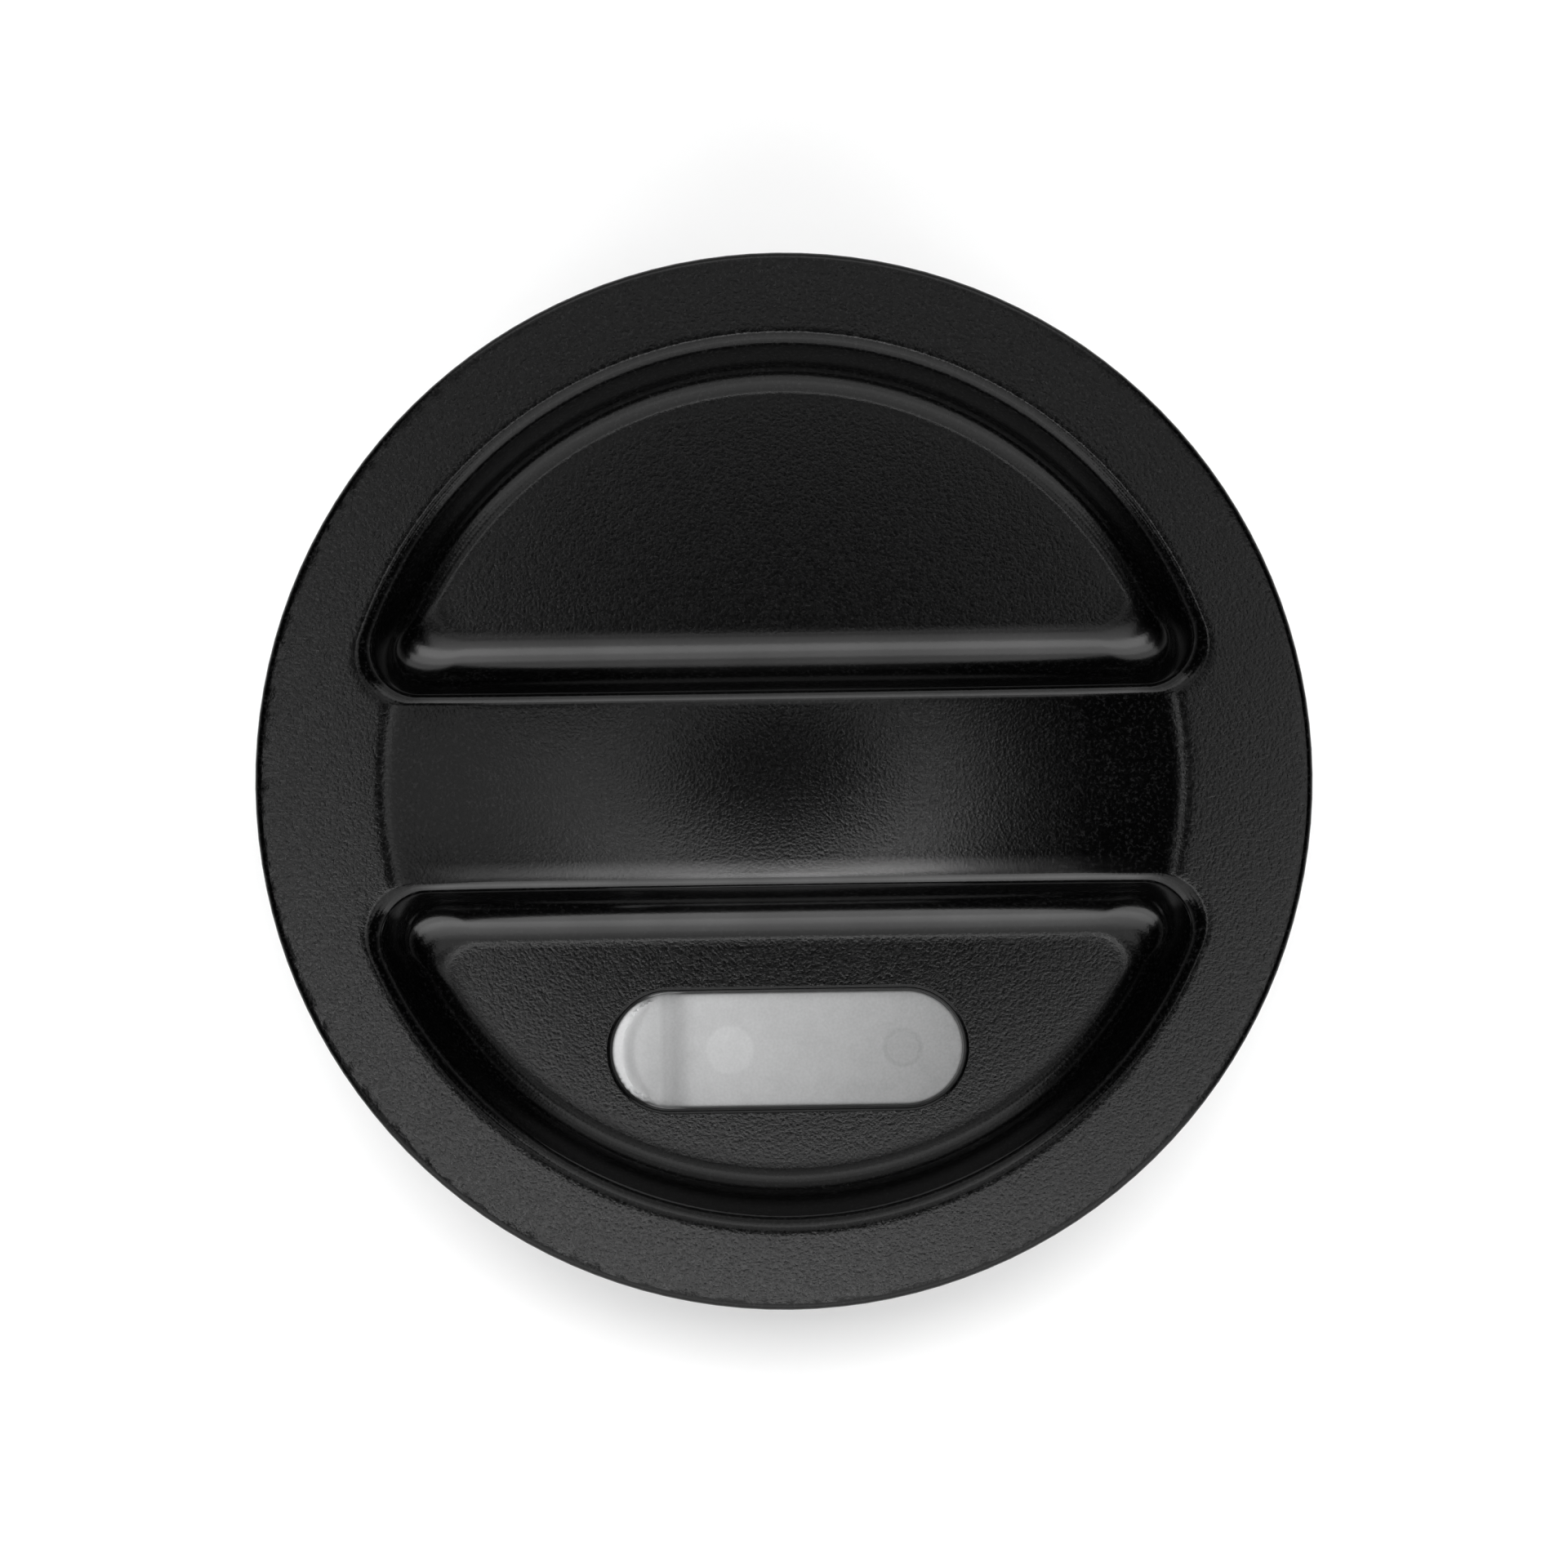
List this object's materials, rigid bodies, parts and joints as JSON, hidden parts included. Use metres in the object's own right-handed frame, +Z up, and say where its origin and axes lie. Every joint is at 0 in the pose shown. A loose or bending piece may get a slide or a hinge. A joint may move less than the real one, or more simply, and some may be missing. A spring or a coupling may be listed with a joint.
{
  "type": "desk grommet",
  "caption": "Round desk cable grommet: turning lift-out lid with a grip bar and a sliding cord door, in a liner clamped by a ring nut.",
  "frame": {"origin": "on the liner's axis, in the plane of the worktop's top surface, where the gasket sits", "axes": "+Z up out of the worktop; the lid's grip bar runs along X and its cord slot is on the -Y side; the cord door opens towards +X"},
  "size_m": [0.088, 0.088, 0.0474],
  "materials": {
    "lid_plastic": "fine spark-eroded grain, satin black",
    "door_plastic": "natural translucent polypropylene, satin",
    "retainer_plastic": "smooth satin black",
    "screw_steel": "bright zinc plate",
    "spring_steel": "rolled stainless strip",
    "pad_felt": "short dark felt",
    "ring_acetal": "natural acetal, slightly waxy",
    "liner_plastic": "fine grain, satin black",
    "gasket_foam": "closed-cell foam, dull",
    "washer_steel": "stamped, zinc plated",
    "nut_plastic": "smooth satin black"
  },
  "bodies": {
    "liner": {"liner_sleeve": "liner_plastic", "desk_gasket": "gasket_foam"},
    "ring": {"friction_ring": "ring_acetal"},
    "lid": {"lid_cover": "lid_plastic", "door_retainer": "retainer_plastic", "retainer_screws": "screw_steel", "door_spring": "spring_steel", "lid_pad_ring": "pad_felt"},
    "door": {"cord_door": "door_plastic"},
    "washer": {"thrust_washer": "washer_steel"},
    "nut": {"clamp_nut": "nut_plastic"}
  },
  "joints": [
    {"name": "lid_lift", "type": "slide", "parent": "liner", "child": "ring", "axis": [0, 0, 1], "range_m": [0, 0.035]},
    {"name": "lid_turn", "type": "hinge", "parent": "ring", "child": "lid", "pos_m": [0, 0, 0], "axis": [0, 0, 1], "continuous": true},
    {"name": "door_slide", "type": "slide", "parent": "lid", "child": "door", "axis": [1, 0, 0], "range_m": [0, 0.0086]},
    {"name": "washer_slide", "type": "slide", "parent": "liner", "child": "washer", "axis": [0, 0, 1], "range_m": [-0.007, 0.012]},
    {"name": "nut_spin", "type": "hinge", "parent": "washer", "child": "nut", "pos_m": [0, 0, 0], "axis": [0, 0, 1], "range_deg": [-630, 1080]}
  ],
  "couplings": [
    {"joint": "washer_slide", "follows": "nut_spin", "m_per_rad": 0.00063662}
  ]
}
